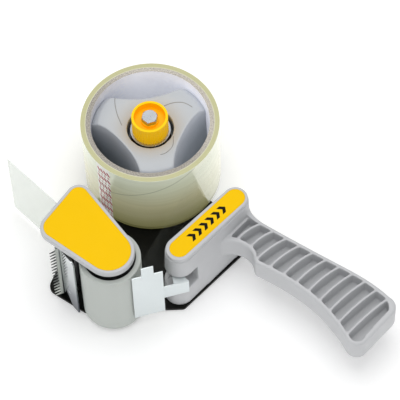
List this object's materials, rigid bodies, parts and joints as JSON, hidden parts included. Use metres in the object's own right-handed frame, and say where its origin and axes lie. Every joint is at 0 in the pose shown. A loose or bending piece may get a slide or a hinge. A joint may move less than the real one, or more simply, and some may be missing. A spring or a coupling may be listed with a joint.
{
  "type": "tape gun dispenser",
  "caption": "Hand-held packing tape dispenser: side plate with braked tape hub, front roller, toothed blade, sprung tape leaf and ribbed pistol grip, loaded with a roll of clear tape.",
  "frame": {"origin": "on the tape roll's axis, at the underside of the side plate, which is the face the dispenser rests on", "axes": "+Z along the roll's axis, away from the side plate; the head with its roller and blade lies towards -Y; the grip runs towards +X"},
  "size_m": [0.2456, 0.1547, 0.0715],
  "materials": {
    "black_steel": "black gloss powder coat",
    "steel": "zinc plated",
    "polished_steel": "polished",
    "blade_steel": "ground",
    "zinc_steel": "bright zinc, satin",
    "spring_steel": "drawn wire",
    "grey_plastic": "light grey, fine satin",
    "black_plastic": "black, matt",
    "yellow_plastic": "amber yellow, satin gloss",
    "yellow_label": "yellow printed film",
    "clear_tape": "clear packing tape",
    "tape_roll": "wound clear tape, pale yellow",
    "cardboard": "grey spiral-wound board",
    "brass": "turned",
    "friction_disc": "pressed fibre"
  },
  "bodies": {
    "root": {"side_plate": "black_steel", "roller_axle": "steel", "cover_post": "steel", "guide_post": "black_plastic", "head_bracket": "black_steel", "blade_holder": "polished_steel", "holder_rivets": "steel", "cutting_blade": "blade_steel", "blade_rivets": "steel", "head_cover": "grey_plastic", "head_label": "yellow_label", "cover_screws": "steel", "plate_screws": "steel", "handle_body": "grey_plastic", "handle_inserts": "brass", "handle_cap": "grey_plastic", "handle_label": "yellow_label", "leaf_pin": "steel", "roller_spacers": "black_plastic", "hub_post": "steel", "post_screws": "steel", "thrust_washer": "black_plastic", "friction_washer": "friction_disc", "brake_spring": "spring_steel", "tape_web": "clear_tape"},
    "roll": {"core_hub": "grey_plastic", "hub_bush": "black_plastic", "cardboard_core": "cardboard", "tape_winding": "tape_roll"},
    "front_roller": {"roller_sleeve": "grey_plastic", "roller_bushes": "black_plastic"},
    "leaf": {"tape_leaf": "zinc_steel", "leaf_spring": "spring_steel"},
    "brake_plate": {"pressure_washer": "steel"},
    "knob": {"brake_knob": "yellow_plastic", "knob_bolt": "steel"}
  },
  "joints": [
    {"name": "roll_spin", "type": "hinge", "parent": "root", "child": "roll", "pos_m": [0, 0, 0.034], "axis": [0, 0, 1], "continuous": true},
    {"name": "roller_spin", "type": "hinge", "parent": "root", "child": "front_roller", "pos_m": [0.0473, -0.0884, 0.034], "axis": [0, 0, 1], "continuous": true},
    {"name": "leaf_swing", "type": "hinge", "parent": "root", "child": "leaf", "pos_m": [0.07597, -0.05929, 0.0272], "axis": [0, 0, 1], "range_deg": [0, 35]},
    {"name": "brake_travel", "type": "slide", "parent": "root", "child": "brake_plate", "axis": [0, 0, 1], "range_m": [-0.001, 0.001], "deforming": ["brake_spring"]},
    {"name": "knob_turn", "type": "hinge", "parent": "brake_plate", "child": "knob", "pos_m": [0, 0, 0.06], "axis": [0, 0, 1], "range_deg": [-360, 360]}
  ],
  "couplings": [
    {"joint": "roller_spin", "follows": "roll_spin", "ratio": 2.2887},
    {"joint": "knob_turn", "follows": "brake_travel", "rad_per_m": 6283.2}
  ]
}
